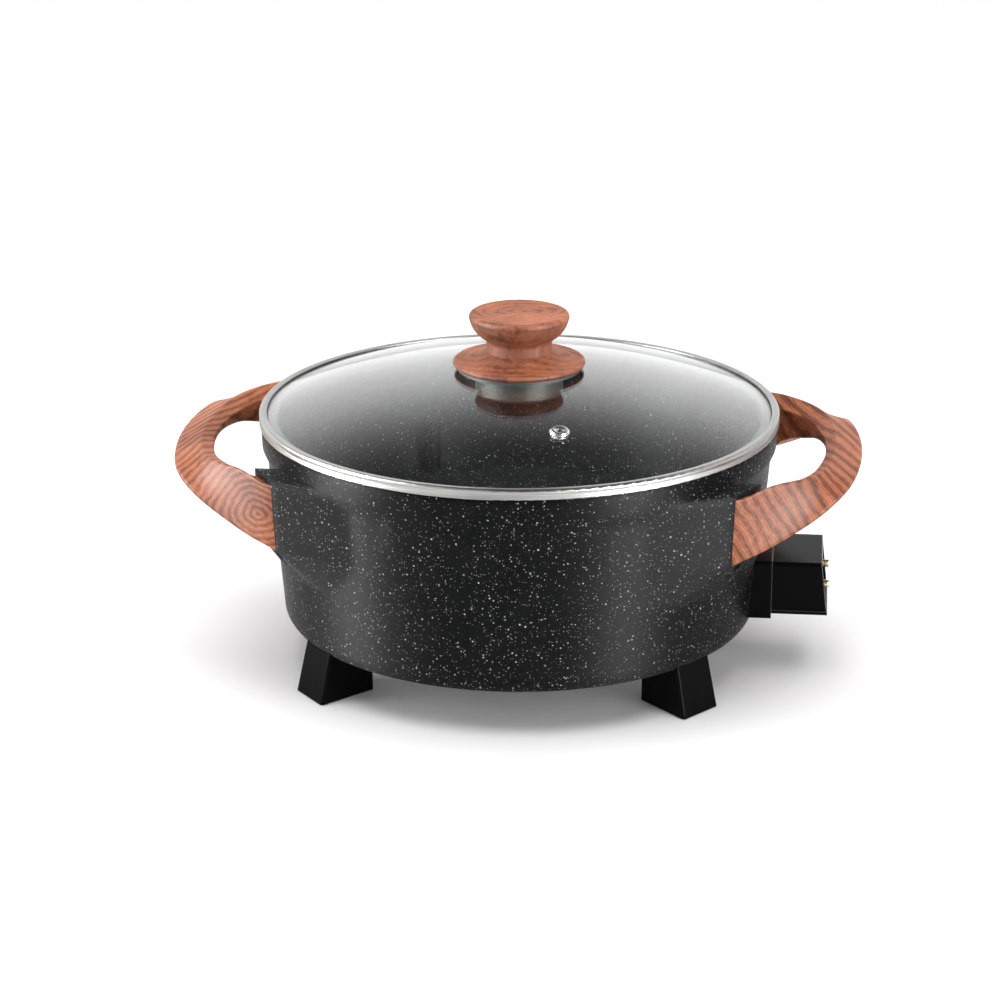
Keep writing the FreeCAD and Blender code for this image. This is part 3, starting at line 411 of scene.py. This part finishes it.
def dress():
    """Each CAD node gets the finish of its material slot."""
    own = {
        "vent_eyelet": fine_steel("eyelet_steel", (0.50, 0.50, 0.48), (0.72, 0.71, 0.68), 0.16, 0.3),
        "handle_left": wood_look("wood_handle_left", LEFT_KNOT, -114.0, 64.0, (1.0, 1.3, 0.35), 0.24),
        "handle_right": wood_look("wood_handle_right", RIGHT_HEART, -66.0, 50.0, (1.0, 1.0, 0.35), 0.22),
        "knob": wood_look("wood_knob", KNOB_HEART, None, 42.0, (1.0, 1.5, 0.25), 0.10),
    }
    finishes = {
        "stone_coating": stone_coating(),
        "element_steel": fine_steel("element_steel", (0.30, 0.28, 0.26), (0.46, 0.44, 0.41), 0.30, 0.5),
        "insulator_ceramic": ceramic(),
        "pin_brass": brass(),
        "black_moulding": black_moulding(),
        "screw_steel": fine_steel("screw_steel", (0.48, 0.48, 0.49), (0.66, 0.66, 0.66), 0.22, 0.4),
        "cover_steel": fine_steel("cover_steel", (0.42, 0.42, 0.42), (0.58, 0.58, 0.57), 0.28, 0.45),
        "soft_rubber": soft_rubber(),
        "lid_glass": clear_glass(),
        "rim_steel": rim_steel(),
        "seat_moulding": seat_moulding(),
    }
    for part in frame["record"]["subparts"]:
        node = part["node"]
        material = own.get(node) or finishes[part["material_slot"]]
        for holder in NODES[node].material_slots:
            holder.link = "OBJECT"
            holder.material = material


def floor():
    """A wide pale floor under the pot."""
    mesh = bpy.data.meshes.new("floor")
    corners = [(x * FLOOR_REACH, y * FLOOR_REACH, 0) for x, y in ((-1, -1), (1, -1), (1, 1), (-1, 1))]
    mesh.from_pydata(corners, [], [(0, 1, 2, 3)])
    piece = bpy.data.objects.new("floor", mesh)
    bpy.context.scene.collection.objects.link(piece)
    s = Shade("floor_paint")
    s.surface(Base_Color=(0.93, 0.93, 0.93, 1.0), Roughness=0.9, Specular_IOR_Level=0.1)
    mesh.materials.append(s.material)


def towards(azimuth, elevation):
    """Unit direction at degrees from the front, positive towards +X, and degrees above the floor."""
    a = math.radians(azimuth)
    e = math.radians(elevation)
    return Vector((math.sin(a) * math.cos(e), -math.cos(a) * math.cos(e), math.sin(e)))


def soft_box(name, azimuth, elevation, distance, width, height, power):
    """Area light that faces the middle of the pot."""
    away = towards(azimuth, elevation)
    light = bpy.data.lights.new(name, "AREA")
    light.shape = "RECTANGLE"
    light.size = width
    light.size_y = height
    light.energy = power
    piece = bpy.data.objects.new(name, light)
    piece.location = Vector((0.0, 0.0, POT_MIDDLE_Z)) + away * distance
    piece.rotation_euler = away.to_track_quat("Z", "Y").to_euler()
    bpy.context.scene.collection.objects.link(piece)
    return piece


def studio():
    """Side boxes with a bright streak in each, a broad box and an even sky overhead."""
    soft_box("fill_left", -72.0, 20.0, 1.5, 0.60, 1.2, 5.0)
    soft_box("fill_right", 55.0, 20.0, 1.6, 0.50, 1.2, 5.0)
    for name, azimuth, power in STREAKS:
        streak = soft_box(name, azimuth, 10.0, 1.4, STREAK_WIDTH, STREAK_HEIGHT, power)
        streak.visible_diffuse = False
        streak.visible_transmission = False
    overhead = soft_box("overhead", 0.0, 80.0, 2.4, 2.8, 2.2, 40.0)
    overhead.visible_glossy = False
    sky = bpy.data.lights.new("sky", "SUN")
    sky.energy = 1.6
    sky.angle = math.radians(70.0)
    piece = bpy.data.objects.new("sky", sky)
    piece.visible_glossy = False
    piece.visible_transmission = False
    bpy.context.scene.collection.objects.link(piece)
    bpy.context.scene.view_settings.view_transform = "Standard"


def surroundings():
    """White surroundings that are brightest low at the back."""
    world = bpy.data.worlds.new("studio")
    world.use_nodes = True
    tree = world.node_tree
    ground = tree.nodes["Background"]
    ground.inputs["Color"].default_value = (1.0, 1.0, 1.0, 1.0)
    direction = tree.nodes.new("ShaderNodeTexCoord").outputs["Generated"]
    parts = tree.nodes.new("ShaderNodeSeparateXYZ")
    tree.links.new(direction, parts.inputs[0])

    def ease(source, low, high, to_low, to_high):
        """Takes a value from one range to another with soft ends."""
        node = tree.nodes.new("ShaderNodeMapRange")
        node.interpolation_type = "SMOOTHSTEP"
        tree.links.new(source, node.inputs["Value"])
        values = (low, high, to_low, to_high)
        for socket, value in zip(("From Min", "From Max", "To Min", "To Max"), values):
            node.inputs[socket].default_value = value
        return node.outputs[0]

    low_light = ease(parts.outputs[2], 0.36, 0.80, 1.0, 0.07)
    back_light = ease(parts.outputs[1], -0.30, 0.65, 0.55, 1.55)
    strength = tree.nodes.new("ShaderNodeMath")
    strength.operation = "MULTIPLY"
    tree.links.new(low_light, strength.inputs[0])
    tree.links.new(back_light, strength.inputs[1])
    tree.links.new(strength.outputs[0], ground.inputs["Strength"])
    bpy.context.scene.world = world


def camera():
    """The photograph's viewing angle."""
    away = towards(CAMERA_AZIMUTH, CAMERA_ELEVATION)
    spot = Vector((0.0, 0.0, AIM_Z)) + away * CAMERA_DISTANCE
    centre = 0.5 * IMAGE_SIDE
    right = towards(CAMERA_AZIMUTH + 90.0, 0.0)
    up = away.cross(right)
    # the view axis turns a little so that the aim point is off the middle of the picture
    x = (AIM_PIXEL[0] - centre) / FOCAL_PIXELS
    y = (centre - AIM_PIXEL[1]) / FOCAL_PIXELS
    back = (away + right * x + up * y).normalized()
    right = (right - back * right.dot(back)).normalized()
    up = back.cross(right)
    lens = bpy.data.cameras.new("camera")
    lens.sensor_width = SENSOR_MM
    lens.lens = SENSOR_MM * FOCAL_PIXELS / IMAGE_SIDE
    lens.clip_end = 100.0
    piece = bpy.data.objects.new("camera", lens)
    turn = Matrix((right, up, back)).transposed().to_4x4()
    piece.matrix_world = Matrix.Translation(spot) @ turn
    bpy.context.scene.collection.objects.link(piece)
    bpy.context.scene.camera = piece


dress()
floor()
studio()
surroundings()
camera()
